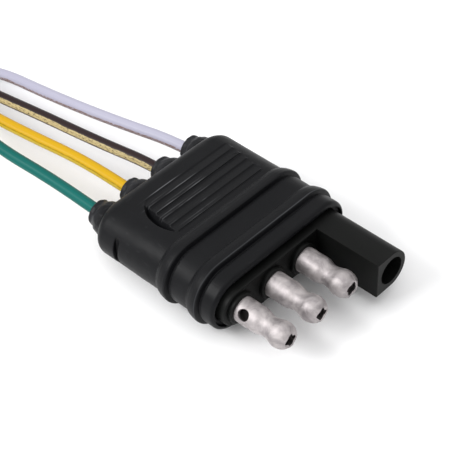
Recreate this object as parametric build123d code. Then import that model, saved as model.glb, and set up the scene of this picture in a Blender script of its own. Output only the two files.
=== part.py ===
from build123d import *
import math
import os

# A flat four-way wiring connector for a trailer: a rubbery moulded body round a terminal block
# that holds three bare bullet pins and one socket in a D-shaped shroud, on four single leads.
# Millimetres. +X is the way the connector is pushed into its mate, +Y runs along the row of
# terminals towards the socket, +Z is up. z = 0 is the surface that the connector lies on.

# --- driving dimensions: the row of terminals -------------------------------------------------
pitch = 7.8
overall_length = 48.2
shroud_past_pin_tips = 2.2
pin_exposed = 10.65

# --- driving dimensions: moulded body ---------------------------------------------------------
body_width = 34.0
body_height = 11.6
bead_rise = 0.8
bead_width = 2.9
bead_shape = [(0.0, 0.0), (0.1, 0.36), (0.3, 0.67), (0.55, 0.88), (0.82, 1.0), (0.93, 0.86), (1.0, 0.0)]
bead_groove_width = 0.35
bead_groove_depth = 0.3
front_rim_length = 3.35
bead_spacing = 7.1
rim_edge_round = 0.8
body_rear_inset = 3.6
rear_height = 10.6
rear_width = 34.2
rear_round_x = 2.8
rear_round_y = 4.6
rear_round_z = 2.4
taper_length = 12.6

# --- driving dimensions: grip on each broad face ----------------------------------------------
grip_front_from_bead = 1.1
grip_ribs_per_face = 5
grip_rib_length = 2.0
grip_crest_above = 0.1
grip_valley_below = 0.2
grip_floor_below = 1.35
grip_end_slope = 30.0
grip_front_groove = 0.3
grip_far_rear_y = 12.9
grip_far_front_y = 11.3
grip_near_rear_y = -7.6
grip_near_mid_y = -10.95
grip_near_front_y = -9.6
grip_rib_end_rear_y = -8.3
grip_rib_end_front_y = -10.1
side_notch_width = 1.1
side_notch_depth = 0.95
side_notch_height = 7.0

# --- driving dimensions: terminal block -------------------------------------------------------
block_height = 7.64
block_front_past_rim = 1.25
block_length = 12.6
block_edge_round = 0.3
moat_width = 0.8
moat_depth = 0.8
boss_radius = 3.0
boss_height = 0.75
shroud_flat_offset = 3.74
mouth_radius = 2.7

# --- driving dimensions: terminals ------------------------------------------------------------
pin_radius = 2.38
pin_ball_radius = 2.43
pin_waist_radius = 1.93
pin_neck_radius = 2.15
pin_wall = 0.45
pin_tip_hole_radius = 1.02
pin_tip_flat_radius = 1.3
pin_side_hole_radius = 1.1
pin_hole_from_seam = 67.5
pin_side_hole_from_tip = 8.85
pin_nose_length = 6.8
pin_body_length = 21.8
barb_radius = 2.85
barb_width = 1.0
barb_from_tip = 14.5
crimp_radius = 1.75
crimp_length = 8.0
socket_wall = 0.35
socket_recess = 3.6
socket_length = 14.0
socket_slit = 0.5

# --- driving dimensions: leads ----------------------------------------------------------------
lead_diameter = 2.3
conductor_diameter = 1.5
insulation_gap = 1.0
strip_length = 6.0
collar_lip_radius = 2.6
collar_root_radius = 3.7

# --- driving dimensions: the coil of spare lead -----------------------------------------------
coil_centre_x = -84.0
coil_centre_y = -22.0
coil_outer_turn = 17.0
coil_turn_step = 2.4
coil_turns = 2.8
tie_thickness = 0.8
tie_width = 2.6
tie_azimuths = {"coil_tie_front": -40.0, "coil_tie_rear": 150.0}

# --- values worked out from them --------------------------------------------------------------
mid_height = body_height / 2 + bead_rise
shroud_front_x = overall_length / 2
collar_rear_x = -overall_length / 2
pin_tip_x = shroud_front_x - shroud_past_pin_tips
boss_front_x = pin_tip_x - pin_exposed
block_front_x = boss_front_x - boss_height
block_rear_x = block_front_x - block_length
rim_front_x = block_front_x - block_front_past_rim
bead_front_xs = [rim_front_x - front_rim_length - bead_spacing, rim_front_x - front_rim_length]
body_rear_x = collar_rear_x + body_rear_inset
taper_rear_x = body_rear_x + rear_round_x
taper_front_x = taper_rear_x + taper_length
grip_front_x = bead_front_xs[0] - bead_width - grip_front_from_bead
grip_rear_x = grip_front_x - grip_front_groove - grip_ribs_per_face * grip_rib_length
terminal_ys = [(row - 1.5) * pitch for row in range(4)]
pin_ys = {"green": terminal_ys[0], "yellow": terminal_ys[1], "brown": terminal_ys[2]}
socket_y = terminal_ys[3]
lead_ys = {**pin_ys, "white": socket_y}
block_width = 3 * pitch + block_height
lead_radius = lead_diameter / 2
conductor_radius = conductor_diameter / 2
pin_rear_x = pin_tip_x - pin_body_length
crimp_rear_x = pin_rear_x - crimp_length
crimp_front_x = pin_rear_x + 1.4
insulation_x = crimp_rear_x - insulation_gap
socket_front_x = shroud_front_x - socket_recess
socket_rear_x = socket_front_x - socket_length
socket_bore_radius = mouth_radius - socket_wall
coil_bottom = tie_thickness
coil_height = 4 * coil_turn_step
coil_top = coil_bottom + coil_height
coil_outer_radius = coil_outer_turn + lead_radius
coil_eye_radius = coil_outer_turn - coil_turn_step * coil_turns - lead_radius
coil_levels = {
    "white": coil_bottom + 0.5 * coil_turn_step,
    "brown": coil_bottom + 1.5 * coil_turn_step,
    "yellow": coil_bottom + 2.5 * coil_turn_step,
    "green": coil_bottom + 3.5 * coil_turn_step,
}

# Where each lead joins the outer turn of the coil, as an azimuth about the coil's centre.
coil_entry_azimuth = {"white": 125.1, "brown": 104.2, "yellow": 82.8, "green": 73.4}

# Each lead's way from inside the body to the coil: straight out of its collar, easing down and
# together as it goes. The last point, on the coil's wall, is added by lead_route.
free_points = {
    "white": [(-24.0, 11.75, 6.6), (-40.5, 8.0, 6.1), (-57.0, 6.3, 4.5), (-72.0, 5.7, 3.0),
              (-81.0, 0.9, 2.3)],
    "brown": [(-24.0, 4.0, 6.6), (-38.0, 1.7, 6.2), (-52.0, 0.5, 5.4), (-66.0, -1.2, 4.8),
              (-75.0, -2.2, 4.6)],
    "yellow": [(-23.0, -3.9, 6.6), (-36.5, -4.0, 6.5), (-49.5, -5.9, 6.5), (-61.5, -7.2, 6.6),
               (-69.5, -6.7, 6.8)],
    "green": [(-23.0, -11.6, 6.6), (-36.5, -11.4, 6.6), (-50.5, -12.4, 6.9), (-62.0, -11.6, 7.9),
              (-68.5, -9.5, 8.6)],
}


def cross_plane(x, y=0.0, z=mid_height):
    """A plane across the connector: local x is +Y, local y is +Z, normal is +X."""
    return Plane(origin=(x, y, z), x_dir=(0, 1, 0), z_dir=(1, 0, 0))


def slab(x_rear, x_front, width, height):
    """A length of the flat, full-round section."""
    return extrude(cross_plane(x_rear) * SlotOverall(width, height), amount=x_front - x_rear)


def rod(x_rear, x_front, radius, y):
    """A round bar along X on one terminal's axis."""
    return extrude(cross_plane(x_rear, y) * Circle(radius), amount=x_front - x_rear)


def lathe(outline, y):
    """A turned solid about one terminal's axis; outline is edges in (x, radius)."""
    plane = Plane(origin=(0, y, mid_height), x_dir=(1, 0, 0), z_dir=(0, -1, 0))
    axis = Axis((0, y, mid_height), (1, 0, 0))
    return revolve(plane * make_face(outline), axis, 360)


def block(x0, x1, y0, y1, z0, z1):
    """A plain box between two corners."""
    box = Box(x1 - x0, y1 - y0, z1 - z0, align=(Align.MIN, Align.MIN, Align.MIN))
    return Pos(x0, y0, z0) * box


def end_edges(solid, front):
    """The edges round one end face along X."""
    face = solid.faces().sort_by(Axis.X)[-1 if front else 0]
    return face.edges()


# --- moulded body -----------------------------------------------------------------------------
def rear_cap():
    """The rear end: the section shrinks on a quarter ellipse, more in width than in height."""
    sections = []
    steps = 6
    for step in range(steps + 1):
        angle = math.radians(90 * step / steps)
        x = body_rear_x + rear_round_x * (1 - math.cos(angle))
        width = rear_width - 2 * rear_round_y * (1 - math.sin(angle))
        height = rear_height - 2 * rear_round_z * (1 - math.sin(angle))
        sections.append(cross_plane(x) * SlotOverall(width, height))
    return loft(sections)


def taper():
    """The grip grows from the rear height to the full body height."""
    rear = cross_plane(taper_rear_x) * SlotOverall(rear_width, rear_height)
    front = cross_plane(taper_front_x) * SlotOverall(body_width, body_height)
    return loft([rear, front], ruled=True)


def bead(front_x):
    """A band round the body that the fingers push against: a slow rise, then a quick drop in front."""
    sections = []
    for along, rise in bead_shape:
        extra = 2 * bead_rise * rise
        plane = cross_plane(front_x + (along - 1) * bead_width)
        sections.append(plane * SlotOverall(body_width + extra, body_height + extra))
    return loft(sections, ruled=True)


def bead_groove(front_x):
    """The sharp groove along the front foot of a bead."""
    far_x = front_x + bead_groove_width
    inner_width = body_width - 2 * bead_groove_depth
    inner_height = body_height - 2 * bead_groove_depth
    outside = slab(front_x, far_x, body_width + 2 * bead_rise, body_height + 2 * bead_rise)
    return outside - slab(front_x, far_x, inner_width, inner_height)


def rear_collar(y):
    """The short flared collar that one lead leaves by, with a rolled lip."""
    lip = collar_lip_radius
    root_x = body_rear_x + 1.2
    outline = Polyline((root_x, 0), (collar_rear_x, 0), (collar_rear_x, lip - 0.35))
    outline += ThreePointArc((collar_rear_x, lip - 0.35), (collar_rear_x + 0.15, lip - 0.08),
                             (collar_rear_x + 0.5, lip))
    outline += Spline((collar_rear_x + 0.5, lip), (collar_rear_x + 0.95, lip - 0.03),
                      (collar_rear_x + 1.8, lip + 0.45), (collar_rear_x + 3.0, collar_root_radius - 0.3),
                      (root_x, collar_root_radius))
    outline += Line((root_x, collar_root_radius), (root_x, 0))
    return lathe(outline, y)


def body_half_height(x):
    """Half the height of the body's flat section at x, where it tapers."""
    part_way = (x - taper_rear_x) / taper_length
    return (rear_height + part_way * (body_height - rear_height)) / 2


def grip_pocket():
    """The pocket in the top face: straight at its far end, bowed out round its near end."""
    corner = (grip_rear_x, grip_near_rear_y)
    outline = Polyline(corner, (grip_rear_x, grip_far_rear_y), (grip_front_x, grip_far_front_y),
                       (grip_front_x, grip_near_front_y))
    outline += ThreePointArc((grip_front_x, grip_near_front_y),
                             ((grip_front_x + grip_rear_x) / 2, grip_near_mid_y), corner)
    floor = mid_height + body_half_height(grip_rear_x) - grip_floor_below
    return extrude(Pos(0, 0, floor) * make_face(outline), amount=body_height)


def teeth_limits(height):
    """What the ribs may cover at a height above the pocket's floor: their near ends slope in."""
    crest_height = grip_floor_below + grip_crest_above
    shift = (height - crest_height) * math.tan(math.radians(grip_end_slope))
    z = mid_height + body_half_height(grip_rear_x) - grip_floor_below + height
    outline = Polyline((grip_rear_x, grip_rib_end_rear_y + shift), (grip_rear_x, body_width / 2),
                       (grip_front_x, body_width / 2), (grip_front_x, grip_rib_end_front_y + shift),
                       close=True)
    return Pos(0, 0, z) * make_face(outline)


def grip_teeth():
    """The ribs of the top face: each rises towards the front and ends in a small step down.

    Their near ends slope down to the pocket's floor.
    """
    rear = grip_rear_x
    bottom = mid_height + body_half_height(rear) - grip_floor_below
    corners = [(rear, bottom)]
    for step in range(grip_ribs_per_face):
        x_rear = rear + step * grip_rib_length
        x_front = x_rear + grip_rib_length
        corners.append((x_rear, mid_height + body_half_height(x_rear) - grip_valley_below))
        corners.append((x_front, mid_height + body_half_height(x_front) + grip_crest_above))
    corners.append((corners[-1][0], bottom))
    profile = Plane.XZ * make_face(Polyline(*corners, close=True))
    teeth = extrude(profile, amount=body_width / 2, both=True)
    return teeth & loft([teeth_limits(0.0), teeth_limits(2 * grip_floor_below)], ruled=True) & grip_pocket()


def side_notch(side):
    """The narrow upright notch in one round flank of the grip."""
    x = grip_rear_x + 1.5
    inner_y = body_width / 2 - side_notch_depth
    cut = block(x - side_notch_width / 2, x + side_notch_width / 2, inner_y, inner_y + 3.0,
                mid_height - side_notch_height / 2, mid_height + side_notch_height / 2)
    return cut if side > 0 else mirror(cut, Plane.XZ)


def front_moat():
    """The channel between the front rim and the terminal block."""
    return slab(rim_front_x - moat_depth, rim_front_x + 1, block_width + 2 * moat_width,
                block_height + 2 * moat_width)


def outer_overmould(leads):
    """The soft body, moulded round the block, the crimps and the first stretch of each lead."""
    main = slab(taper_front_x, rim_front_x, body_width, body_height)
    main = fillet(end_edges(main, True), rim_edge_round)
    shell = rear_cap() + taper() + main
    for y in terminal_ys:
        shell += rear_collar(y)
    middle = Plane.XY.offset(mid_height)
    shell -= grip_pocket() + mirror(grip_pocket(), middle)
    shell += grip_teeth() + mirror(grip_teeth(), middle)
    for side in (1, -1):
        shell -= side_notch(side)
    for front_x in bead_front_xs:
        shell += bead(front_x)
        shell -= bead_groove(front_x)
    shell -= front_moat()
    shell -= slab(block_rear_x, rim_front_x, block_width, block_height)
    for y in terminal_ys:
        shell -= rod(crimp_rear_x, block_rear_x, crimp_radius, y)
        shell -= rod(insulation_x, crimp_rear_x, conductor_radius, y)
    for lead in leads.values():
        shell -= lead
    return shell


# --- terminal block ---------------------------------------------------------------------------
def shroud(y):
    """The D-shaped tube that guards the socket, flat towards the pins and round outside."""
    half = block_height / 2
    outline = Polyline((0, half), (-shroud_flat_offset, half), (-shroud_flat_offset, -half), (0, -half))
    outline += ThreePointArc((0, -half), (half, 0), (0, half))
    face = cross_plane(block_rear_x + 1, y) * make_face(outline)
    tube = extrude(face, amount=shroud_front_x - block_rear_x - 1)
    rim = end_edges(tube, True)
    return fillet(rim, 0.15)


def terminal_block():
    core = slab(block_rear_x, block_front_x, block_width, block_height)
    core = fillet(end_edges(core, True), block_edge_round)
    core += shroud(socket_y)
    for y in pin_ys.values():
        boss = rod(block_front_x - 0.5, boss_front_x, boss_radius, y)
        core += fillet(end_edges(boss, True), 0.2)
    for y in pin_ys.values():
        core -= rod(pin_rear_x, boss_front_x, pin_neck_radius, y)
        core -= rod(pin_tip_x - barb_from_tip - barb_width, pin_tip_x - barb_from_tip, barb_radius, y)
        core -= rod(block_rear_x, pin_rear_x, crimp_radius, y)
    core -= rod(socket_rear_x, shroud_front_x, mouth_radius, socket_y)
    core -= rod(block_rear_x, socket_rear_x, crimp_radius, socket_y)
    return core


# --- terminals --------------------------------------------------------------------------------
def pin_outline():
    """Half section of a bullet pin: ball nose, waist, shank, barbed neck in the block, crimp barrel."""
    tip = pin_tip_x
    shank_front = tip - pin_nose_length
    nose = Spline((tip, pin_tip_flat_radius), (tip - 0.7, 2.09), (tip - 1.85, pin_ball_radius),
                  (tip - 3.4, 2.2), (tip - 4.7, pin_waist_radius), (tip - 5.7, 2.12),
                  (shank_front, pin_radius), tangents=((-0.25, 1.0), (-1.0, 0.0)))
    barb_front = tip - barb_from_tip
    barb_rear = barb_front - barb_width
    bore = pin_neck_radius - pin_wall
    outside = Polyline((shank_front, pin_radius), (boss_front_x, pin_radius),
                       (boss_front_x, pin_neck_radius), (barb_front, pin_neck_radius),
                       (barb_front, barb_radius), (barb_rear, barb_radius),
                       (barb_rear, pin_neck_radius), (pin_rear_x, pin_neck_radius),
                       (pin_rear_x, crimp_radius), (crimp_rear_x, crimp_radius),
                       (crimp_rear_x, conductor_radius), (crimp_front_x, conductor_radius),
                       (crimp_front_x, bore), (shank_front, bore), (tip - 5.2, 1.48),
                       (tip - 4.2, 1.48), (tip - 2.6, pin_ball_radius - pin_wall),
                       (tip - 1.2, pin_ball_radius - pin_wall), (tip - 0.35, pin_tip_hole_radius),
                       (tip, pin_tip_hole_radius), (tip, pin_tip_flat_radius))
    return nose + outside


def bullet_pin(y, hole_angle):
    """A hollow bullet pin with one round side hole, turned hole_angle degrees from the top."""
    axis = Axis((0, y, mid_height), (1, 0, 0))
    hole_x = pin_tip_x - pin_side_hole_from_tip
    drill_plane = Plane(origin=(hole_x, y, mid_height), z_dir=(0, 0, 1))
    drill = extrude(drill_plane * Circle(pin_side_hole_radius), amount=2 * pin_radius)
    pin = lathe(pin_outline(), y) - drill.rotate(axis, pin_hole_from_seam)
    return pin.rotate(axis, hole_angle - pin_hole_from_seam)


def socket_terminal():
    """The slit sleeve in the shroud, with its crimp barrel."""
    y = socket_y
    step_x = socket_rear_x + 1.0
    outline = Polyline((socket_front_x, socket_bore_radius), (socket_front_x, mouth_radius),
                       (socket_rear_x, mouth_radius), (socket_rear_x, crimp_radius),
                       (crimp_rear_x, crimp_radius), (crimp_rear_x, conductor_radius),
                       (step_x, conductor_radius), (step_x, socket_bore_radius),
                       (socket_front_x, socket_bore_radius))
    sleeve = lathe(outline, y)
    slit = block(socket_rear_x + 2.5, socket_front_x + 1, y - socket_slit / 2, y + socket_slit / 2,
                 mid_height, mid_height + 2 * mouth_radius)
    return sleeve - slit


def conductor(colour):
    """The stranded copper inside one lead where it enters its crimp barrel."""
    front_x = socket_rear_x + 1.0 if colour == "white" else crimp_front_x
    return rod(insulation_x, front_x, conductor_radius, lead_ys[colour])


# --- leads ------------------------------------------------------------------------------------
def coil_point(azimuth, radius, z):
    """A point on the coil, from its azimuth in degrees."""
    angle = math.radians(azimuth)
    return (coil_centre_x + radius * math.cos(angle), coil_centre_y + radius * math.sin(angle), z)


def coil_entry(colour):
    """Where a lead, running along its tangent, first meets the coil's outer wall."""
    azimuth = coil_entry_azimuth[colour]
    touch = coil_point(azimuth, coil_outer_turn, coil_levels[colour])
    back = math.sqrt(coil_outer_radius ** 2 - coil_outer_turn ** 2)
    heading = math.radians(azimuth + 90)
    return (touch[0] - back * math.cos(heading), touch[1] - back * math.sin(heading), touch[2])


def lead_route(colour):
    """All the points of a lead from its insulation's end in the body to the coil."""
    start = (insulation_x, lead_ys[colour], mid_height)
    return [start] + free_points[colour] + [coil_entry(colour)]


def bend_radii(points):
    """Each bend's radius: 0.45 of the shorter run over the tangent of half the turn."""
    radii = []
    for before, here, after in zip(points, points[1:], points[2:]):
        first = Vector(*here) - Vector(*before)
        second = Vector(*after) - Vector(*here)
        half_turn = math.radians(first.get_angle(second)) / 2
        radii.append(0.45 * min(first.length, second.length) / math.tan(half_turn))
    return radii


def lead_tube(colour):
    """The insulated lead as one tube of straight runs and arcs, ending on the coil."""
    points = lead_route(colour)
    radii = bend_radii(points)
    path = FilletPolyline(*points, radius=radii)
    face = Plane(origin=points[0], z_dir=path % 0) * Circle(lead_radius)
    tube = sweep(face, path=path)
    section = math.pi * lead_radius ** 2
    coil = coil_length()
    outside = path.length - (insulation_x - collar_rear_x)
    print(f"lead_{colour}: arc radii {[round(radius, 1) for radius in radii]} mm")
    print(f"  volume {tube.volume:.1f} against {section * path.length:.1f} mm3")
    print(f"  {outside:.1f} mm from collar to coil, {coil:.1f} mm in the coil, {outside + coil:.1f} in all")
    return tube - coil_envelope()


def coil_length():
    """The length of one lead in the coil: its turns close in by one step each time round."""
    mean_radius = coil_outer_turn - coil_turn_step * coil_turns / 2
    return 2 * math.pi * mean_radius * coil_turns


def coil_envelope():
    """The outer shape of the four leads wound together."""
    base = Plane(origin=(coil_centre_x, coil_centre_y, coil_bottom))
    ring = extrude(base * Circle(coil_outer_radius), amount=coil_height)
    eye = extrude(base * Circle(coil_eye_radius), amount=coil_height)
    return ring - eye


def stripped_end(colour):
    """The bare end of one lead, which points into the eye of the coil."""
    azimuth = coil_entry_azimuth[colour] + 360 * coil_turns
    z = coil_levels[colour]
    start = coil_point(azimuth, coil_eye_radius + 0.3, z)
    heading = math.radians(azimuth + 135)
    direction = (math.cos(heading), math.sin(heading), 0)
    tip = extrude(Plane(origin=start, z_dir=direction) * Circle(conductor_radius), amount=strip_length)
    return tip - coil_envelope()


def coil_tie(azimuth):
    """A flat strap round the whole bundle of the coil."""
    inner_x = coil_eye_radius
    outer_x = coil_outer_radius
    outside = block(inner_x - tie_thickness, outer_x + tie_thickness, -tie_width / 2, tie_width / 2,
                    coil_bottom - tie_thickness, coil_top + tie_thickness)
    outside = fillet(outside.edges().filter_by(Axis.Y), tie_thickness)
    inside = block(inner_x, outer_x, -tie_width, tie_width, coil_bottom, coil_top)
    strap = (outside - inside).rotate(Axis.Z, azimuth)
    return Pos(coil_centre_x, coil_centre_y, 0) * strap - coil_envelope()


def main():
    os.makedirs("parts", exist_ok=True)
    leads = {colour: lead_tube(colour) for colour in lead_ys}
    parts = {
        "outer_overmould": outer_overmould(leads),
        "terminal_block": terminal_block(),
        "socket_terminal": socket_terminal(),
        "lead_coil": coil_envelope(),
    }
    side_hole_angles = {"green": 55.0, "yellow": 150.0, "brown": 205.0}
    for colour, y in pin_ys.items():
        parts[f"bullet_pin_{colour}"] = bullet_pin(y, side_hole_angles[colour])
    for colour in lead_ys:
        parts[f"conductor_{colour}"] = conductor(colour)
        parts[f"lead_{colour}"] = leads[colour]
        parts[f"stripped_end_{colour}"] = stripped_end(colour)
    for name, azimuth in tie_azimuths.items():
        parts[name] = coil_tie(azimuth)
    for name, part in parts.items():
        export_step(part, f"parts/{name}.step")


main()
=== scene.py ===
import math

import bmesh
import bpy
from mathutils import Matrix, Vector, noise


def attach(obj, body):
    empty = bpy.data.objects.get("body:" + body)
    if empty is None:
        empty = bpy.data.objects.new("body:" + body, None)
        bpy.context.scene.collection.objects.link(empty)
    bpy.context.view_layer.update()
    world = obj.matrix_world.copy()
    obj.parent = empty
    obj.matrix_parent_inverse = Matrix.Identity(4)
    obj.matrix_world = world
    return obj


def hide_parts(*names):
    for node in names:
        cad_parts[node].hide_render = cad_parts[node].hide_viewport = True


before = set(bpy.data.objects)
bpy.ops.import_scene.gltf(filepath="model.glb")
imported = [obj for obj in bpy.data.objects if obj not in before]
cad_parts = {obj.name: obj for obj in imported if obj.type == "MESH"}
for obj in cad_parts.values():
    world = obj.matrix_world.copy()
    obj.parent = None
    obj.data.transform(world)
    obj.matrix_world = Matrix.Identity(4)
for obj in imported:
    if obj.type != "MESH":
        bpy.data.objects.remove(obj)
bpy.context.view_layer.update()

# The trailer wiring connector. Blender's unit is the metre; names that end in _MM are millimetres.
MM = 0.001

# --- camera and light -----------------------------------------------------------------------------
VIEW_TARGET_MM = (-4.74, 0.92, 6.6)
VIEW_AZIMUTH = 44.58
VIEW_ELEVATION = 44.16
VIEW_ROLL = 2.01
VIEW_DISTANCE_MM = 268.7
SENSOR_WIDTH = 36.0
LENS = 121.75
SKY_STRENGTH = 0.82
FLOOR_TONE = (0.93, 0.93, 0.935)
FLOOR_SIZE = 6.0

# --- leads: their routes are the points that part.py has, in millimetres --------------------------
LEAD_DIAMETER_MM = 2.3
PITCH_MM = 7.8
MID_HEIGHT_MM = 6.6
COLLAR_REAR_X_MM = -24.1
INSULATION_X_MM = -8.9
COIL_CENTRE_MM = (-84.0, -22.0)
COIL_OUTER_TURN_MM = 17.0
COIL_TURN_STEP_MM = 2.4
COIL_BOTTOM_MM = 0.8
COIL_TURNS = 2.8
COIL_POINTS_PER_TURN = 16
COIL_LEVELS_MM = {
    "white": COIL_BOTTOM_MM + 0.5 * COIL_TURN_STEP_MM,
    "brown": COIL_BOTTOM_MM + 1.5 * COIL_TURN_STEP_MM,
    "yellow": COIL_BOTTOM_MM + 2.5 * COIL_TURN_STEP_MM,
    "green": COIL_BOTTOM_MM + 3.5 * COIL_TURN_STEP_MM,
}
COIL_ENTRY_AZIMUTH = {"white": 125.1, "brown": 104.2, "yellow": 82.8, "green": 73.4}
LEAD_ROWS = {"green": -1.5, "yellow": -0.5, "brown": 0.5, "white": 1.5}
FREE_POINTS_MM = {
    "white": [(-24.0, 11.75, 6.6), (-40.5, 8.0, 6.1), (-57.0, 6.3, 4.5), (-72.0, 5.7, 3.0),
              (-81.0, 0.9, 2.3)],
    "brown": [(-24.0, 4.0, 6.6), (-38.0, 1.7, 6.2), (-52.0, 0.5, 5.4), (-66.0, -1.2, 4.8),
              (-75.0, -2.2, 4.6)],
    "yellow": [(-23.0, -3.9, 6.6), (-36.5, -4.0, 6.5), (-49.5, -5.9, 6.5), (-61.5, -7.2, 6.6),
               (-69.5, -6.7, 6.8)],
    "green": [(-23.0, -11.6, 6.6), (-36.5, -11.4, 6.6), (-50.5, -12.4, 6.9), (-62.0, -11.6, 7.9),
              (-68.5, -9.5, 8.6)],
}
LEAD_SIDES = 32
LEAD_RINGS_PER_SEGMENT = 12
LEAD_ROUND_SHARE = 0.98  # of half the diameter, between the ridges
LEAD_RIDGE_SHARE = 0.07
LEAD_RIDGE_SCALE_PER_M = 420
CUT_END_SHARP_ANGLE = 50

# --- moulded body: a hollow is its depth in millimetres and its noise scale per millimetre --------
BODY_VOXEL_MM = 0.12
BODY_SMOOTHING = 2
BODY_KEEP_FACES = 0.5
BODY_SHRINK_MM = 0.04
BODY_HOLLOWS = [(0.045, 0.22), (0.018, 0.8)]
COLLAR_HOLLOW = (0.09, 1.2)
COLLAR_HOLLOW_REACH_MM = 3.5
PLUG_X_MM = (-19.0, 7.9)
PLUG_HALF_WIDTH_MM = 15.6
PLUG_HALF_HEIGHT_MM = 3.9
PLUG_SIDES = 64

# --- painted highlights on the moulded body -------------------------------------------------------
RIB_REAR_X_MM = -15.45
RIB_LENGTH_MM = 2.0
# The ribs that get painted highlight lines, and how softly painted highlights fade at their edges.
HIGHLIT_RIBS_X_MM = (RIB_REAR_X_MM - 0.45, RIB_REAR_X_MM + 5 * RIB_LENGTH_MM)
HIGHLIGHT_SOFT_MM = 0.05
# The patch of rib tops that gets the painted highlight lines.
RIB_HIGHLIGHT_CENTRE_MM = (-11.5, -3.5, 12.2)
RIB_HIGHLIGHT_REACH_MM = (4.5, 7.5)
RIB_HIGHLIGHT_LOWEST_MM = (11.5, 11.75)
# The front bead's crest, which gets a painted highlight line.
BEAD_CREST_X_MM = 5.5
BEAD_CREST_HALF_WIDTH_MM = 0.09
# The collars, which get a paler painted sheen.
SHEEN_COLLAR_X_MM = (-20.5, -22.5)

# --- bullet pins: distances back from the tip, and radii ------------------------------------------
PIN_TIP_X_MM = 21.9
PIN_NOSE_MM = [(0.0, 1.42), (0.16, 1.66), (0.75, 2.16), (1.85, 2.46), (2.7, 2.4), (3.6, 2.12),
               (4.65, 1.93), (5.5, 2.07), (6.3, 2.32), (7.0, 2.385), (8.5, 2.38), (10.65, 2.38)]
PIN_BURIED_MM = [(10.65, 2.15), (14.5, 2.15), (14.5, 2.85), (15.5, 2.85), (15.5, 2.15), (21.8, 2.15),
                 (21.8, 1.75), (29.8, 1.75), (29.8, 0.75), (20.4, 0.75), (20.4, 1.7)]
PIN_HOLLOW_MM = [(7.0, 1.9), (5.2, 1.5), (4.2, 1.5), (2.6, 1.98), (1.3, 1.98), (0.45, 1.3), (0.12, 1.12)]
PIN_RINGS_PER_MM = 7
PIN_SIDES = 96
PIN_HOLE_FROM_TIP_MM = 8.85
PIN_HOLE_RADIUS_MM = 1.1
PIN_HOLE_ANGLES = {"green": 55.0, "yellow": 150.0, "brown": 205.0}  # degrees
PIN_HOLE_SIDES = 48
PIN_HOLE_CUT_MM = (0.3, 4.0)
PIN_WOBBLE_MM = 0.06
PIN_SEAM_ANGLE = 5.9  # radians
PIN_SEAM_HALF_WIDTH = 0.06  # radians
PIN_SEAM_DEPTH_MM = 0.05
PIN_PUCKER_RADIUS_MM = 1.9
PIN_PUCKER_LENGTH_MM = 0.45
PIN_SHARP_ANGLE = 42

# --- coil ties and stripped ends ------------------------------------------------------------------
TIE_AZIMUTHS = {"coil_tie_front": -40.0, "coil_tie_rear": 150.0}
TIE_THICKNESS_MM = 0.8
TIE_WIDTH_MM = 2.6
TIE_CORNER_MM = 1.5
TIE_TOOTH_MM = 0.7
TIE_TOOTH_DEPTH_MM = 0.16
TIE_EDGE_MM = 0.15
TIE_BORDER_MM = 0.45
TIE_TEETH_INSET_MM = 0.5
TIE_HEAD_MM = (4.0, 4.4, 2.3)
TIE_HEAD_EDGE_MM = 0.35
TIE_TAIL_MM = (1.6, 2.3, 0.8)
TIE_TAIL_OVERLAP_MM = 0.4
TIE_TAIL_LIFT_MM = 0.25
TIE_SHARP_ANGLE = 30
STRAND_COUNT = 7
STRAND_RADIUS_MM = 0.24
STRAND_SIDES = 10
STRAND_TWIST = 0.9
STRAND_SPLAY = 0.35
STRAND_SPLAY_FROM = 0.7
STRAND_BEND_MM = [(-2.0, 0.0), (0.0, 0.0), (1.8, 0.6), (3.2, 2.4), (3.9, 5.0)]  # along, inward


def scene_collection():
    return bpy.context.scene.collection


# --- node materials -------------------------------------------------------------------------------
class Nodes:
    """A short way to write a node tree: each call adds one node and returns an output."""

    def __init__(self, name):
        self.material = bpy.data.materials.new(name)
        self.material.use_nodes = True
        self.tree = self.material.node_tree
        self.shader = self.tree.nodes["Principled BSDF"]

    def add(self, kind, inputs=None, **settings):
        node = self.tree.nodes.new(kind)
        for key, value in settings.items():
            setattr(node, key, value)
        for key, value in (inputs or {}).items():
            self.feed(node.inputs[key], value)
        return node

    def feed(self, socket, value):
        if isinstance(value, bpy.types.NodeSocket):
            self.tree.links.new(value, socket)
        else:
            socket.default_value = value

    def shade(self, **values):
        for key, value in values.items():
            self.feed(self.shader.inputs[key.replace("_", " ")], value)

    def place(self, name="Object"):
        return self.add("ShaderNodeTexCoord").outputs[name]

    def stretch(self, vector, scale):
        return self.add("ShaderNodeMapping", {"Vector": vector, "Scale": scale}).outputs["Vector"]

    def noise(self, vector, scale, detail=4.0, roughness=0.55, distortion=0.0):
        node = self.add("ShaderNodeTexNoise", {"Vector": vector, "Scale": scale, "Detail": detail,
                                               "Roughness": roughness, "Distortion": distortion})
        return node.outputs["Fac"]

    def ramp(self, value, low, high, low_to=0.0, high_to=1.0):
        node = self.add("ShaderNodeMapRange", {"Value": value, "From Min": low, "From Max": high,
                                               "To Min": low_to, "To Max": high_to})
        return node.outputs["Result"]

    def band(self, value, low, high, soft):
        """1 between low and high, fading to 0 over soft on each side."""
        return self.math("MULTIPLY", self.ramp(value, low - soft, low + soft),
                         self.ramp(value, high + soft, high - soft))

    def math(self, operation, first, second=0.0):
        return self.add("ShaderNodeMath", {0: first, 1: second}, operation=operation).outputs[0]

    def mix(self, factor, first, second):
        node = self.add("ShaderNodeMix", {"Factor": factor}, data_type="RGBA")
        self.feed(node.inputs[6], first)
        self.feed(node.inputs[7], second)
        return node.outputs[2]

    def bump(self, height, distance_mm, strength=1.0, normal=None):
        inputs = {"Height": height, "Distance": distance_mm * MM, "Strength": strength}
        if normal is not None:
            inputs["Normal"] = normal
        return self.add("ShaderNodeBump", inputs).outputs["Normal"]


def rgb(red, green, blue):
    return (red, green, blue, 1.0)


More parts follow.
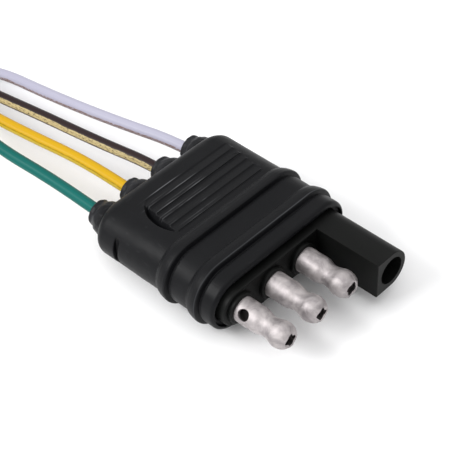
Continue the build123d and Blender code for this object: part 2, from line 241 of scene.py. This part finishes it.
def moulded_material(name, tone, worn, roughness, specular=0.12, with_painted_highlights=False):
    """Moulded black vinyl: a fine matt grain, cloudy sheen, specks of dust, and edges painted paler:
    partly wear from rubbing, partly a painted highlight.
    """
    n = Nodes(name)
    place = n.place()
    grain = n.noise(place, 7000.0, detail=3.0)
    cloud = n.noise(place, 130.0, detail=5.0, roughness=0.6)
    specks = n.ramp(n.noise(place, 1500.0, detail=6.0, roughness=0.75), 0.66, 0.78)
    pointiness = n.add("ShaderNodeNewGeometry").outputs["Pointiness"]
    # Pointed edges are mixed towards worn, the paler colour: partly wear from rubbing, partly a painted
    # highlight along crests, rims and lips.
    edge_wear_and_highlight = n.math("MULTIPLY", n.ramp(pointiness, 0.51, 0.57), n.ramp(cloud, 0.3, 0.6, 0.3, 1.0))
    colour = n.mix(n.ramp(cloud, 0.3, 0.7, 0.0, 0.35), tone, worn)
    colour = n.mix(n.math("MULTIPLY", edge_wear_and_highlight, 0.8), colour, worn)
    colour = n.mix(n.math("MULTIPLY", specks, 0.25), colour, rgb(0.05, 0.05, 0.048))
    # Painted highlights on the rib crests and the front bead, and a painted sheen on the collars.
    if with_painted_highlights:
        colour = painted_highlights(n, place, cloud, colour)
    n.shade(Base_Color=colour, Roughness=n.ramp(cloud, 0.3, 0.7, roughness - 0.06, roughness + 0.08))
    n.shader.inputs["Specular IOR Level"].default_value = specular
    normal = n.bump(grain, 0.012, 0.4)
    normal = n.bump(n.noise(place, 600.0, detail=2.0), 0.03, 0.3, normal)
    n.shade(Normal=normal)
    return n.material


def painted_highlights(n, place, cloud, colour):
    """Painted highlights: thin broken pale lines along the rib crests in one patch of the grip, a pale
    line along the front bead's crest, and a paler painted sheen on the collars.
    """
    parts = n.add("ShaderNodeSeparateXYZ", {"Vector": place})
    x, z = parts.outputs["X"], parts.outputs["Z"]
    streaks = n.noise(n.stretch(place, (2600.0, 120.0, 120.0)), 1.0, detail=3.0)
    from_rear = n.math("SUBTRACT", x, RIB_REAR_X_MM * MM)
    along_rib = n.math("FRACT", n.math("DIVIDE", from_rear, RIB_LENGTH_MM * MM))
    # Painted highlight lines along each rib's crest, broken by streaks.
    lines = n.math("MAXIMUM", n.band(along_rib, 0.81, 0.90, 0.03),
                   n.math("MULTIPLY", n.band(along_rib, 0.52, 0.58, 0.03), 0.6))
    lines = n.math("MULTIPLY", lines, n.ramp(streaks, 0.44, 0.6))
    away = n.add("ShaderNodeVectorMath", {0: place, 1: Vector(RIB_HIGHLIGHT_CENTRE_MM) * MM}, operation="DISTANCE")
    inner, outer = (reach * MM for reach in RIB_HIGHLIGHT_REACH_MM)
    low, high = (height * MM for height in RIB_HIGHLIGHT_LOWEST_MM)
    # Only a patch of rib tops gets the painted highlight lines.
    near = n.math("MULTIPLY", n.ramp(away.outputs["Value"], outer, inner), n.ramp(z, low, high))
    on_ribs = n.band(x, HIGHLIT_RIBS_X_MM[0] * MM, HIGHLIT_RIBS_X_MM[1] * MM, HIGHLIGHT_SOFT_MM * MM)
    lines = n.math("MULTIPLY", lines, n.math("MULTIPLY", near, on_ribs))
    colour = n.mix(lines, colour, rgb(0.095, 0.097, 0.102))
    # Painted highlight: a thin pale line along the front bead's crest.
    crest = n.band(x, (BEAD_CREST_X_MM - BEAD_CREST_HALF_WIDTH_MM) * MM,
                   (BEAD_CREST_X_MM + BEAD_CREST_HALF_WIDTH_MM) * MM, HIGHLIGHT_SOFT_MM * MM)
    crest = n.math("MULTIPLY", crest, n.ramp(streaks, 0.3, 0.6, 0.4, 1.0))
    colour = n.mix(crest, colour, rgb(0.04, 0.0415, 0.045))
    # Painted sheen: the collars turned a little paler and bluer.
    front, rear = (edge * MM for edge in SHEEN_COLLAR_X_MM)
    collar_sheen = n.math("MULTIPLY", n.ramp(x, front, rear), n.ramp(cloud, 0.35, 0.65, 0.4, 1.0))
    return n.mix(collar_sheen, colour, rgb(0.019, 0.0195, 0.022))


def tin_material():
    """Dull tin plate over drawn brass: cloudy patches, faint lengthwise draw lines, tiny pits."""
    n = Nodes("tin_plate")
    place = n.place()
    cloud = n.noise(place, 420.0, detail=6.0, roughness=0.65, distortion=0.6)
    drawn = n.noise(n.stretch(place, (160.0, 2600.0, 2600.0)), 1.0, detail=4.0)
    pits = n.noise(place, 5200.0, detail=4.0, roughness=0.7)
    colour = n.mix(n.ramp(cloud, 0.38, 0.64), rgb(0.30, 0.276, 0.281), rgb(0.53, 0.495, 0.495))
    colour = n.mix(n.ramp(drawn, 0.5, 0.75, 0.0, 0.35), colour, rgb(0.38, 0.345, 0.34))
    colour = n.mix(n.ramp(pits, 0.62, 0.8, 0.0, 0.5), colour, rgb(0.30, 0.28, 0.27))
    n.shade(Base_Color=colour, Metallic=1.0, Roughness=n.ramp(cloud, 0.3, 0.7, 0.48, 0.68))
    normal = n.bump(drawn, 0.02, 0.4)
    normal = n.bump(pits, 0.01, 0.5, normal)
    normal = n.bump(cloud, 0.16, 0.5, normal)
    n.shade(Normal=normal)
    return n.material


def insulation_material(name, tone, shade, strip=None, dark_line=None):
    """Extruded vinyl with faint lengthwise streaks.

    strip is (from, to, colour): the torn skin that the next lead left, as turns round from +Y through
    underneath. dark_line is a darker line of the same form.
    """
    n = Nodes(name)
    uv = n.place("UV")
    parts = n.add("ShaderNodeSeparateXYZ", {"Vector": uv})
    turn = parts.outputs["Y"]
    streak = n.noise(n.stretch(uv, (25.0, 22.0, 1.0)), 1.0, detail=4.0)
    mottle = n.noise(n.stretch(uv, (1500.0, 22.0, 1.0)), 1.0, detail=6.0, roughness=0.7)
    ragged = n.noise(n.stretch(uv, (330.0, 1.0, 1.0)), 1.0, detail=5.0, roughness=0.7)
    colour = n.mix(n.ramp(streak, 0.35, 0.7), tone, shade)
    for band in (strip, dark_line):
        if band:
            low, high, band_colour = band
            edge = n.math("ADD", turn, n.ramp(ragged, 0.3, 0.7, -0.015, 0.015))
            worn = n.math("MULTIPLY", n.band(edge, low, high, 0.01), n.ramp(mottle, 0.33, 0.52))
            colour = n.mix(worn, colour, band_colour)
    n.shade(Base_Color=colour, Roughness=n.ramp(mottle, 0.3, 0.7, 0.34, 0.46))
    n.shader.inputs["Specular IOR Level"].default_value = 0.16
    n.shade(Normal=n.bump(streak, 0.02, 0.4, n.bump(mottle, 0.01, 0.5)))
    return n.material


def copper_material():
    n = Nodes("copper")
    place = n.place()
    cloud = n.noise(place, 900.0, detail=4.0)
    n.shade(Base_Color=n.mix(cloud, rgb(0.62, 0.27, 0.14), rgb(0.86, 0.48, 0.32)), Metallic=1.0,
            Roughness=n.ramp(cloud, 0.3, 0.7, 0.22, 0.4))
    return n.material


def floor_material():
    n = Nodes("floor")
    n.shade(Base_Color=rgb(*FLOOR_TONE), Roughness=0.95)
    n.shader.inputs["Specular IOR Level"].default_value = 0.1
    return n.material


# --- scene ----------------------------------------------------------------------------------------
def add_camera():
    """A long lens at the product photo's angle, turned a little about its own axis."""
    target = Vector(VIEW_TARGET_MM) * MM
    azimuth = math.radians(VIEW_AZIMUTH)
    elevation = math.radians(VIEW_ELEVATION)
    back = Vector((math.sin(azimuth) * math.cos(elevation), -math.cos(azimuth) * math.cos(elevation),
                   math.sin(elevation)))
    data = bpy.data.cameras.new("camera")
    data.sensor_width = SENSOR_WIDTH
    data.lens = LENS
    data.clip_start = 0.01
    data.clip_end = 10.0
    camera = bpy.data.objects.new("camera", data)
    scene_collection().objects.link(camera)
    turn = back.to_track_quat("Z", "Y").to_matrix() @ Matrix.Rotation(math.radians(-VIEW_ROLL), 3, "Z")
    camera.matrix_world = Matrix.Translation(target + back * VIEW_DISTANCE_MM * MM) @ turn.to_4x4()
    bpy.context.scene.camera = camera


def add_light(name, location_mm, size_mm, watts, target_mm=(0, 0, 6)):
    data = bpy.data.lights.new(name, "AREA")
    data.shape = "RECTANGLE"
    data.size = size_mm[0] * MM
    data.size_y = size_mm[1] * MM
    data.energy = watts
    light = bpy.data.objects.new(name, data)
    scene_collection().objects.link(light)
    back = (Vector(location_mm) - Vector(target_mm)).normalized()
    turn = back.to_track_quat("Z", "Y").to_matrix().to_4x4()
    light.matrix_world = Matrix.Translation(Vector(location_mm) * MM) @ turn


def add_floor():
    bpy.ops.mesh.primitive_plane_add(size=FLOOR_SIZE, location=(0, 0, 0))
    floor = bpy.context.object
    floor.name = "floor"
    floor.data.materials.append(floor_material())


def add_studio():
    add_camera()
    add_floor()
    add_light("ceiling", (0, -60, 600), (900, 900), 1.6)
    add_light("side", (-190, -330, 300), (280, 170), 1.6)
    world = bpy.data.worlds.new("studio")
    world.use_nodes = True
    background = world.node_tree.nodes["Background"]
    background.inputs["Color"].default_value = rgb(1.0, 1.0, 1.0)
    background.inputs["Strength"].default_value = SKY_STRENGTH
    bpy.context.scene.world = world
    bpy.context.scene.view_settings.view_transform = "Standard"


# --- mesh helpers ---------------------------------------------------------------------------------
def mesh_object(name, bm, sharp_angle=None):
    """A smooth-shaded object of bm, with the edges over sharp_angle degrees left sharp."""
    mesh = bpy.data.meshes.new(name)
    bm.to_mesh(mesh)
    bm.free()
    mesh.shade_smooth()
    if sharp_angle:
        mesh.set_sharp_from_angle(angle=math.radians(sharp_angle))
    obj = bpy.data.objects.new(name, mesh)
    scene_collection().objects.link(obj)
    return obj


def add_modifier(obj, kind, **settings):
    modifier = obj.modifiers.new(kind.lower(), kind)
    for key, value in settings.items():
        setattr(modifier, key, value)


def apply_modifiers(obj):
    depsgraph = bpy.context.evaluated_depsgraph_get()
    mesh = bpy.data.meshes.new_from_object(obj.evaluated_get(depsgraph))
    obj.modifiers.clear()
    obj.data = mesh


def loft(bm, rings, closed_round=True, closed_along=False):
    """Faces between rings of points, each ring as long as the next; open ends are left open."""
    rows = [[bm.verts.new(point) for point in ring] for ring in rings]
    pairs = list(zip(rows, rows[1:])) + ([(rows[-1], rows[0])] if closed_along else [])
    count = len(rows[0])
    for first, second in pairs:
        for k in range(count if closed_round else count - 1):
            after = (k + 1) % count
            bm.faces.new((first[k], second[k], second[after], first[after]))
    return rows


def finish_piece(piece, material, slot, *nodes):
    piece.data.materials.append(material)
    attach(piece, "root")
    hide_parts(*nodes)
    return piece


# --- moulded body ---------------------------------------------------------------------------------
def add_plug(bm):
    """Fill the room that the terminal block takes up inside the body, back from the front channel."""
    flat = PLUG_HALF_WIDTH_MM - PLUG_HALF_HEIGHT_MM
    rings = []
    for x in PLUG_X_MM:
        ring = []
        for k in range(PLUG_SIDES):
            angle = 2 * math.pi * (k + 0.5) / PLUG_SIDES
            y = math.copysign(flat, math.cos(angle)) + PLUG_HALF_HEIGHT_MM * math.cos(angle)
            z = MID_HEIGHT_MM + PLUG_HALF_HEIGHT_MM * math.sin(angle)
            ring.append(Vector((x, y, z)) * MM)
        rings.append(ring)
    rows = loft(bm, rings)
    for row in rows:
        bm.faces.new(row)


def add_moulded_body(material):
    """The body with the soft edges, slow hollows and rolled lips of a rubbery moulding."""
    bm = bmesh.new()
    bm.from_mesh(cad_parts["outer_overmould"].data)
    add_plug(bm)
    body = mesh_object("moulded_body", bm)
    add_modifier(body, "REMESH", mode="VOXEL", voxel_size=BODY_VOXEL_MM * MM)
    add_modifier(body, "SMOOTH", factor=0.5, iterations=BODY_SMOOTHING)
    add_modifier(body, "DECIMATE", ratio=BODY_KEEP_FACES)
    apply_modifiers(body)
    skin = [(vertex.co / MM, vertex.normal.copy()) for vertex in body.data.vertices]
    for vertex, (place, normal) in zip(body.data.vertices, skin):
        on_collar = place.x < COLLAR_REAR_X_MM + COLLAR_HOLLOW_REACH_MM
        hollows = BODY_HOLLOWS + [COLLAR_HOLLOW] if on_collar else BODY_HOLLOWS
        rise = sum(depth * noise.noise(place * scale) for depth, scale in hollows) - BODY_SHRINK_MM
        vertex.co = (place + normal * rise) * MM
    body.data.shade_smooth()
    finish_piece(body, material, "body_pvc", "outer_overmould")


# --- bullet pins ----------------------------------------------------------------------------------
def smooth_through(points, steps_per_mm):
    """Points along a Catmull-Rom curve through points."""
    made = []
    padded = [points[0]] + points + [points[-1]]
    for before, first, second, after in zip(padded, padded[1:], padded[2:], padded[3:]):
        steps = max(1, round(math.dist(first, second) * steps_per_mm))
        for step in range(steps):
            t = step / steps
            weights = (-0.5 * t + t * t - 0.5 * t ** 3, 1 - 2.5 * t * t + 1.5 * t ** 3,
                       0.5 * t + 2 * t * t - 1.5 * t ** 3, -0.5 * t * t + 0.5 * t ** 3)
            corners = (before, first, second, after)
            made.append(tuple(sum(w * p[i] for w, p in zip(weights, corners)) for i in (0, 1)))
    return made + [points[-1]]


def pin_radius(distance, radius, angle, seed):
    """A formed pin's radius: not quite round, with a rolled seam and a puckered tip."""
    around = Vector((0.5 * distance, 1.3 * math.cos(angle), 1.3 * math.sin(angle) + 7.0 * seed))
    seam = math.exp(-((angle - PIN_SEAM_ANGLE) / PIN_SEAM_HALF_WIDTH) ** 2)
    near_tip = math.exp(-((distance - 0.1) / PIN_PUCKER_LENGTH_MM) ** 2)
    pucker = near_tip * max(0.0, PIN_PUCKER_RADIUS_MM - radius)
    puckered = pucker * (0.24 * math.cos(4 * angle + seed) + 0.3 * noise.noise(3 * around))
    return radius + PIN_WOBBLE_MM * noise.noise(around) - PIN_SEAM_DEPTH_MM * seam + puckered


def side_hole_cutter(y, angle):
    """A slightly pear-shaped plug from the pin's axis out through its wall."""
    out = Vector((0, -math.sin(angle), math.cos(angle)))
    across = Vector((0, math.cos(angle), math.sin(angle)))
    middle = Vector((PIN_TIP_X_MM - PIN_HOLE_FROM_TIP_MM, y, MID_HEIGHT_MM))
    rings = []
    for height in PIN_HOLE_CUT_MM:
        ring = []
        for k in range(PIN_HOLE_SIDES):
            turn = 2 * math.pi * k / PIN_HOLE_SIDES
            radius = PIN_HOLE_RADIUS_MM * (1 + 0.07 * math.cos(turn + 0.8) + 0.04 * math.cos(2 * turn))
            side = Vector((math.cos(turn), 0, 0)) + across * math.sin(turn)
            ring.append((middle + side * radius + out * height) * MM)
        rings.append(ring)
    bm = bmesh.new()
    for row in loft(bm, rings):
        bm.faces.new(row)
    bmesh.ops.recalc_face_normals(bm, faces=bm.faces)
    return mesh_object("cutter", bm)


def add_bullet_pin(colour, seed, material):
    """A tube with a ball nose and a waist, open at the tip, barbed and crimped where it is buried."""
    y = LEAD_ROWS[colour] * PITCH_MM
    profile = smooth_through(PIN_NOSE_MM, PIN_RINGS_PER_MM) + PIN_BURIED_MM + PIN_HOLLOW_MM
    rings = []
    for distance, radius in profile:
        x = PIN_TIP_X_MM - distance
        formed = distance < PIN_NOSE_MM[-1][0]
        ring = []
        for k in range(PIN_SIDES):
            angle = 2 * math.pi * k / PIN_SIDES
            wide = pin_radius(distance, radius, angle, seed) if formed else radius
            place = (x, y - wide * math.sin(angle), MID_HEIGHT_MM + wide * math.cos(angle))
            ring.append(Vector(place) * MM)
        rings.append(ring)
    bm = bmesh.new()
    loft(bm, rings, closed_along=True)
    bmesh.ops.recalc_face_normals(bm, faces=bm.faces)
    pin = mesh_object("formed_pin_" + colour, bm)
    cutter = side_hole_cutter(y, math.radians(PIN_HOLE_ANGLES[colour]))
    add_modifier(pin, "BOOLEAN", operation="DIFFERENCE", solver="EXACT", object=cutter)
    apply_modifiers(pin)
    bpy.data.objects.remove(cutter)
    pin.data.shade_smooth()
    pin.data.set_sharp_from_angle(angle=math.radians(PIN_SHARP_ANGLE))
    finish_piece(pin, material, "tinned_brass", "bullet_pin_" + colour)


# --- leads ----------------------------------------------------------------------------------------
def coil_point(azimuth, radius, z):
    angle = math.radians(azimuth)
    x, y = COIL_CENTRE_MM
    return (x + radius * math.cos(angle), y + radius * math.sin(angle), z)


def lead_route(colour):
    """The control points of one whole lead, in millimetres: its free run, then the coil's turns."""
    z = COIL_LEVELS_MM[colour]
    points = [(INSULATION_X_MM, LEAD_ROWS[colour] * PITCH_MM, MID_HEIGHT_MM)] + FREE_POINTS_MM[colour]
    steps = round(COIL_TURNS * COIL_POINTS_PER_TURN)
    for step in range(steps + 1):
        turn = step / COIL_POINTS_PER_TURN
        radius = COIL_OUTER_TURN_MM - COIL_TURN_STEP_MM * turn
        points.append(coil_point(COIL_ENTRY_AZIMUTH[colour] + 360 * turn, radius, z))
    return points


def smooth_line(name, points_mm):
    """The points of the smooth line of a NURBS curve with these control points."""
    curve = bpy.data.curves.new(name, "CURVE")
    curve.dimensions = "3D"
    spline = curve.splines.new("NURBS")
    spline.points.add(len(points_mm) - 1)
    for point, place in zip(spline.points, points_mm):
        point.co = (*(Vector(place) * MM), 1.0)
    spline.order_u = 3
    spline.use_endpoint_u = True
    spline.resolution_u = LEAD_RINGS_PER_SEGMENT
    obj = bpy.data.objects.new(name, curve)
    scene_collection().objects.link(obj)
    line = bpy.data.meshes.new_from_object(obj)
    places = [v.co.copy() for v in line.vertices]
    bpy.data.meshes.remove(line)
    bpy.data.objects.remove(obj)
    return places


def add_tube(bm, places, radius_at, sides, side_direction):
    """A closed tube along places. UV x is the length in metres and y goes once round.

    radius_at gives the radius from the length along and the angle; side_direction is the frame's
    first direction, kept square to the line from ring to ring.
    """
    layer = bm.loops.layers.uv.verify()
    lengths = [0.0]
    for before, here in zip(places, places[1:]):
        lengths.append(lengths[-1] + (here - before).length)
    side = Vector(side_direction)
    rings = []
    for index, here in enumerate(places):
        before = places[max(index - 1, 0)]
        after = places[min(index + 1, len(places) - 1)]
        along = (after - before).normalized()
        side = (side - along * side.dot(along)).normalized()
        up = along.cross(side)
        ring = []
        for k in range(sides):
            angle = 2 * math.pi * k / sides
            out = side * math.cos(angle) + up * math.sin(angle)
            ring.append(here + out * radius_at(lengths[index], angle))
        rings.append(ring)
    rows = [[bm.verts.new(point) for point in ring] for ring in rings]
    for index, (first, second) in enumerate(zip(rows, rows[1:])):
        for k in range(sides):
            after = (k + 1) % sides
            face = bm.faces.new((first[k], second[k], second[after], first[after]))
            corners = ((lengths[index], k), (lengths[index + 1], k), (lengths[index + 1], k + 1),
                       (lengths[index], k + 1))
            for loop, (length, turn) in zip(face.loops, corners):
                loop[layer].uv = (length, turn / sides)
    bm.faces.new(rows[0][::-1])
    bm.faces.new(rows[-1])


def add_lead(colour, material, copper, nodes):
    """One whole lead with its bare strands. It replaces nodes, and ties are round its coil."""
    route = lead_route(colour)
    places = smooth_line("line_" + colour, route)

    def radius_at(length, angle):
        """The torn web leaves a low ragged ridge on each side, at half a turn and at none."""
        ridge = max(0.0, math.cos(2 * angle)) ** 12
        where = Vector((length * LEAD_RIDGE_SCALE_PER_M, LEAD_ROWS[colour], math.cos(angle)))
        ragged = 0.6 + 0.8 * noise.noise(where)
        return LEAD_DIAMETER_MM / 2 * MM * (LEAD_ROUND_SHARE + LEAD_RIDGE_SHARE * ridge * ragged)

    bm = bmesh.new()
    add_tube(bm, places, radius_at, LEAD_SIDES, (0, 1, 0))
    bmesh.ops.recalc_face_normals(bm, faces=bm.faces)
    tube = mesh_object("insulation_" + colour, bm, CUT_END_SHARP_ANGLE)
    lead = finish_piece(tube, material, "insulation_" + colour, *nodes)
    strands = add_stripped_end(colour, route, copper)


# --- coil ties ------------------------------------------------------------------------------------
def rounded_loop(low, high, radius, spacing):
    """Points and outward directions round a rectangle with rounded corners, about evenly spaced."""
    (low_u, low_z), (high_u, high_z) = low, high
    corners = [((high_u - radius, high_z - radius), 0), ((low_u + radius, high_z - radius), 90),
               ((low_u + radius, low_z + radius), 180), ((high_u - radius, low_z + radius), 270)]
    steps = 6
    points = []
    for (u, z), start in corners:
        for step in range(steps + 1):
            angle = math.radians(start + 90 * step / steps)
            out = (math.cos(angle), math.sin(angle))
            points.append((u + radius * out[0], z + radius * out[1], out))
    made = []
    for here, after in zip(points, points[1:] + points[:1]):
        pieces = max(1, round(math.dist(here[:2], after[:2]) / spacing))
        for piece in range(pieces):
            t = piece / pieces
            made.append((here[0] + t * (after[0] - here[0]), here[1] + t * (after[1] - here[1]), here[2]))
    return made


def tie_place(azimuth, u, side, z):
    """A point on a tie: u out from the coil's centre, side along the leads, z up."""
    angle = math.radians(azimuth)
    x = COIL_CENTRE_MM[0] + u * math.cos(angle) - side * math.sin(angle)
    y = COIL_CENTRE_MM[1] + u * math.sin(angle) + side * math.cos(angle)
    return Vector((x, y, z)) * MM


def add_rounded_block(bm, azimuth, centre, size, edge):
    """A block with bevelled edges, on a tie: centre and size are (out, along the leads, up)."""
    block = bmesh.new()
    bmesh.ops.create_cube(block, size=1.0)
    bmesh.ops.scale(block, vec=size, verts=block.verts)
    bmesh.ops.bevel(block, geom=block.edges, offset=edge, segments=3, affect="EDGES", profile=0.5)
    for vert in block.verts:
        vert.co = tie_place(azimuth, *(Vector(centre) + vert.co))
    mesh = bpy.data.meshes.new("block")
    block.to_mesh(mesh)
    block.free()
    bm.from_mesh(mesh)
    bpy.data.meshes.remove(mesh)


def bundle_limits(azimuth):
    """How near to the coil's centre the leads' turns come at this azimuth, and how far they reach."""
    radii = []
    for entry in COIL_ENTRY_AZIMUTH.values():
        turn = (azimuth - entry) % 360 / 360
        while turn <= COIL_TURNS:
            radii.append(COIL_OUTER_TURN_MM - COIL_TURN_STEP_MM * turn)
            turn += 1
    smooth = math.cos(math.pi / COIL_POINTS_PER_TURN)
    return min(radii) * smooth - LEAD_DIAMETER_MM / 2, max(radii) * smooth + LEAD_DIAMETER_MM / 2


def add_coil_tie(name, azimuth, material):
    """A toothed nylon strap round the bundle, with its square head and its trimmed tail."""
    bm = bmesh.new()
    inside_u, outside_u = bundle_limits(azimuth)
    coil_top = COIL_BOTTOM_MM + len(COIL_LEVELS_MM) * COIL_TURN_STEP_MM
    grow = TIE_THICKNESS_MM
    low, high = (inside_u - grow, COIL_BOTTOM_MM - grow), (outside_u + grow, coil_top + grow)
    loop = rounded_loop(low, high, TIE_CORNER_MM, TIE_TOOTH_MM / 2)
    half = TIE_WIDTH_MM / 2
    edge, border, teeth = half - TIE_EDGE_MM, half - TIE_BORDER_MM, half - TIE_TEETH_INSET_MM
    rings = []
    for index, (u, z, out) in enumerate(loop):
        tooth = TIE_TOOTH_DEPTH_MM * (index % 2)
        section = [(-half, TIE_THICKNESS_MM), (-half, TIE_EDGE_MM), (-edge, 0.0), (-border, 0.0),
                   (-teeth, tooth), (teeth, tooth), (border, 0.0), (edge, 0.0), (half, TIE_EDGE_MM),
                   (half, TIE_THICKNESS_MM)]
        rings.append([tie_place(azimuth, u - depth * out[0], side, z - depth * out[1])
                      for side, depth in section])
    loft(bm, rings, closed_along=True)
    head_u = (inside_u + outside_u) / 2
    head_z = coil_top + TIE_THICKNESS_MM / 2 + TIE_HEAD_MM[2] / 2
    add_rounded_block(bm, azimuth, (head_u, 0, head_z), TIE_HEAD_MM, TIE_HEAD_EDGE_MM)
    tail_u = head_u + TIE_HEAD_MM[0] / 2 + TIE_TAIL_MM[0] / 2 - TIE_TAIL_OVERLAP_MM
    add_rounded_block(bm, azimuth, (tail_u, 0, head_z + TIE_TAIL_LIFT_MM), TIE_TAIL_MM, TIE_EDGE_MM)
    bmesh.ops.recalc_face_normals(bm, faces=bm.faces)
    return finish_piece(mesh_object(name + "_strap", bm, TIE_SHARP_ANGLE), material, "tie_plastic", name)


# --- stripped ends --------------------------------------------------------------------------------
def add_stripped_end(colour, route, material):
    """The bare strands of one lead, twisted together, that bend out of the insulation into the eye."""
    end, before = Vector(route[-1]), Vector(route[-2])
    along = (end - before).normalized()
    inward = (Vector((*COIL_CENTRE_MM, end.z)) - end).normalized()
    points = [end + along * forward + inward * sideways for forward, sideways in STRAND_BEND_MM]
    places = smooth_line("strand_line_" + colour, points)
    bm = bmesh.new()
    for strand in range(STRAND_COUNT):
        offset = STRAND_RADIUS_MM * 2 * MM if strand else 0.0
        path = []
        for index, here in enumerate(places):
            tangent = (places[min(index + 1, len(places) - 1)] - places[max(index - 1, 0)]).normalized()
            side = tangent.cross(Vector((0, 0, 1))).normalized()
            up = side.cross(tangent)
            angle = 2 * math.pi * (strand / (STRAND_COUNT - 1) + STRAND_TWIST * index / len(places))
            spread = offset * (1 + STRAND_SPLAY * max(0.0, index / len(places) - STRAND_SPLAY_FROM))
            path.append(here + (side * math.cos(angle) + up * math.sin(angle)) * spread)
        add_tube(bm, path, lambda length, angle: STRAND_RADIUS_MM * MM, STRAND_SIDES, (0, 0, 1))
    bmesh.ops.recalc_face_normals(bm, faces=bm.faces)
    strands = mesh_object("strands_" + colour, bm, CUT_END_SHARP_ANGLE)
    return finish_piece(strands, material, "bare_copper", "stripped_end_" + colour)


def set_material(node, material):
    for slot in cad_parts[node].material_slots:
        slot.material = material


def main():
    add_studio()
    # The body vinyl gets the painted highlights on its ribs and front bead, and the painted sheen on its
    # collars.
    body = moulded_material("body_vinyl", rgb(0.0030, 0.0032, 0.0040), rgb(0.010, 0.0102, 0.0115),
                            roughness=0.42, with_painted_highlights=True)
    block = moulded_material("block_vinyl", rgb(0.0022, 0.0025, 0.0023), rgb(0.008, 0.0085, 0.008),
                             roughness=0.48)
    tie = moulded_material("tie_nylon", rgb(0.007, 0.007, 0.007), rgb(0.02, 0.02, 0.02),
                           roughness=0.38, specular=0.3)
    tin = tin_material()
    copper = copper_material()
    insulation = {
        "white": insulation_material("white_vinyl", rgb(0.37, 0.36, 0.455), rgb(0.41, 0.405, 0.49),
                                     strip=(0.38, 0.535, rgb(0.20, 0.135, 0.12))),
        "brown": insulation_material("brown_vinyl", rgb(0.016, 0.008, 0.009), rgb(0.026, 0.014, 0.014),
                                     strip=(0.48, 0.625, rgb(0.46, 0.375, 0.19)),
                                     dark_line=(0.38, 0.48, rgb(0.035, 0.022, 0.012))),
        "yellow": insulation_material("yellow_vinyl", rgb(0.51, 0.278, 0.002), rgb(0.55, 0.332, 0.005),
                                      strip=(0.38, 0.545, rgb(0.46, 0.335, 0.03)),
                                      dark_line=(0.55, 0.575, rgb(0.20, 0.15, 0.01))),
        "green": insulation_material("green_vinyl", rgb(0.0005, 0.082, 0.069), rgb(0.001, 0.118, 0.102)),
    }
    add_moulded_body(body)
    for seed, colour in enumerate(PIN_HOLE_ANGLES):
        add_bullet_pin(colour, seed, tin)
    ties = [add_coil_tie(name, azimuth, tie) for name, azimuth in TIE_AZIMUTHS.items()]
    set_material("terminal_block", block)
    set_material("socket_terminal", tin)
    for colour, material in insulation.items():
        set_material("conductor_" + colour, copper)
        if colour == "white":
            add_lead(colour, material, copper, ["lead_white", "lead_coil"])
        else:
            add_lead(colour, material, copper, ["lead_" + colour])


main()
